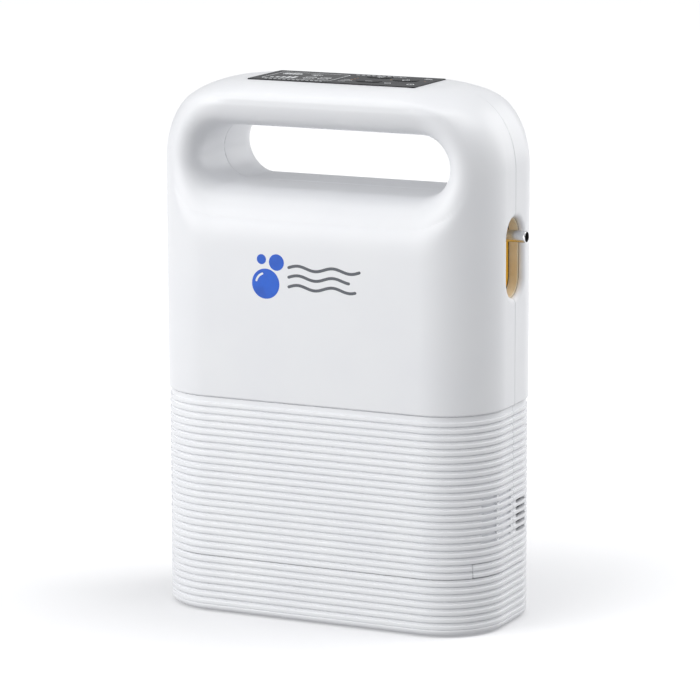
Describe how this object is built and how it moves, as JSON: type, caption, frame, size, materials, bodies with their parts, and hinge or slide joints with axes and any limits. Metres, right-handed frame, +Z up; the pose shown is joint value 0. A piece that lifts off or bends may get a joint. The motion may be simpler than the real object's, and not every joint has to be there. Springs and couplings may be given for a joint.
{
  "type": "portable oxygen concentrator",
  "caption": "Upright portable oxygen concentrator with a carrying handle, top control panel, side outlet port and a slide-out battery base with a ribbed skirt.",
  "frame": {"origin": "on the floor under the middle of the body, at the level of the rubber feet", "axes": "+Z up, the front face towards -Y, the outlet port on the +X side"},
  "size_m": [0.1652, 0.0768, 0.2353],
  "materials": {
    "shell_white": "moulded ABS, fine satin grain, warm white",
    "skirt_white": "moulded ABS, ribbed, satin white",
    "panel_black": "printed polycarbonate overlay, gloss",
    "key_black": "embossed membrane key, gloss",
    "liner_gold": "moulded ABS, golden yellow, semi gloss",
    "steel": "turned stainless steel",
    "zinc": "zinc-plated steel",
    "alloy": "die-cast and machined aluminium",
    "copper": "enamelled copper winding",
    "contact": "gold-plated brass blades",
    "board_green": "glass epoxy circuit board with solder mask",
    "black_plastic": "glass-filled nylon, black",
    "grey_plastic": "moulded polypropylene, grey",
    "natural_plastic": "moulded polypropylene, natural white",
    "piston_seal": "filled PTFE piston cup",
    "cell_wrap": "heat-shrink cell sleeve",
    "rubber_dark": "moulded rubber",
    "foam_dark": "open-cell filter foam",
    "hose_clear": "silicone tube, translucent",
    "display_dark": "display module under the overlay"
  },
  "bodies": {
    "housing": {"upper_front_shell": "shell_white", "upper_rear_shell": "shell_white", "lower_front_shell": "skirt_white", "lower_rear_shell": "skirt_white", "panel_overlay": "panel_black", "keypad_board": "board_green", "display_module": "display_dark", "port_cup": "liner_gold", "outlet_barb": "steel", "outlet_nut": "zinc", "outlet_filter": "natural_plastic", "breath_sensor_board": "board_green", "dc_inlet": "black_plastic", "housing_screws": "zinc", "chassis_plate": "grey_plastic", "rubber_mounts": "rubber_dark", "compressor_frame": "alloy", "cylinder_heads": "alloy", "crankcase_covers": "alloy", "motor_stator": "copper", "motor_bearings": "steel", "fan_frame": "black_plastic", "intake_filter": "foam_dark", "intake_box": "natural_plastic", "exhaust_muffler": "natural_plastic", "sieve_bed_front": "alloy", "sieve_bed_rear": "alloy", "bed_cap_left": "grey_plastic", "bed_cap_right": "grey_plastic", "valve_manifold": "alloy", "solenoid_valves": "black_plastic", "product_tank": "natural_plastic", "air_hoses": "hose_clear", "main_board": "board_green", "board_components": "black_plastic", "battery_socket": "black_plastic"},
    "battery": {"battery_case": "skirt_white", "battery_lid": "grey_plastic", "battery_cells": "cell_wrap", "battery_board": "board_green", "battery_contacts": "contact", "latch_springs_left": "steel", "latch_springs_right": "steel", "rubber_feet": "rubber_dark"},
    "latch_left": {"latch_left": "skirt_white"},
    "latch_right": {"latch_right": "skirt_white"},
    "power_key": {"power_key": "key_black"},
    "flow_up_key": {"flow_up_key": "key_black"},
    "flow_down_key": {"flow_down_key": "key_black"},
    "crank": {"crankshaft": "steel", "motor_rotor": "zinc"},
    "piston_left": {"piston_left": "piston_seal"},
    "piston_right": {"piston_right": "piston_seal"},
    "fan": {"fan_rotor": "black_plastic"}
  },
  "joints": [
    {"name": "battery_slide", "type": "slide", "parent": "housing", "child": "battery", "axis": [0, 0, -1], "range_m": [0, 0.06]},
    {"name": "latch_left_squeeze", "type": "slide", "parent": "battery", "child": "latch_left", "axis": [1, 0, 0], "range_m": [0, 0.002], "stiffness_N_per_m": 2500, "springref_m": -0.001},
    {"name": "latch_right_squeeze", "type": "slide", "parent": "battery", "child": "latch_right", "axis": [-1, 0, 0], "range_m": [0, 0.002], "stiffness_N_per_m": 2500, "springref_m": -0.001},
    {"name": "power_press", "type": "slide", "parent": "housing", "child": "power_key", "axis": [0, 0, -1], "range_m": [0, 0.0005], "stiffness_N_per_m": 3000, "springref_m": -0.0002},
    {"name": "flow_up_press", "type": "slide", "parent": "housing", "child": "flow_up_key", "axis": [0, 0, -1], "range_m": [0, 0.0005], "stiffness_N_per_m": 3000, "springref_m": -0.0002},
    {"name": "flow_down_press", "type": "slide", "parent": "housing", "child": "flow_down_key", "axis": [0, 0, -1], "range_m": [0, 0.0005], "stiffness_N_per_m": 3000, "springref_m": -0.0002},
    {"name": "crank_spin", "type": "hinge", "parent": "housing", "child": "crank", "pos_m": [0, 0, 0.069], "axis": [1, 0, 0], "continuous": true},
    {"name": "piston_left_stroke", "type": "slide", "parent": "housing", "child": "piston_left", "axis": [0, 0, 1], "range_m": [-0.0035, 0.0035]},
    {"name": "piston_right_stroke", "type": "slide", "parent": "housing", "child": "piston_right", "axis": [0, 0, 1], "range_m": [-0.0035, 0.0035]},
    {"name": "fan_spin", "type": "hinge", "parent": "housing", "child": "fan", "pos_m": [0.0646, 0, 0.0665], "axis": [1, 0, 0], "continuous": true}
  ]
}
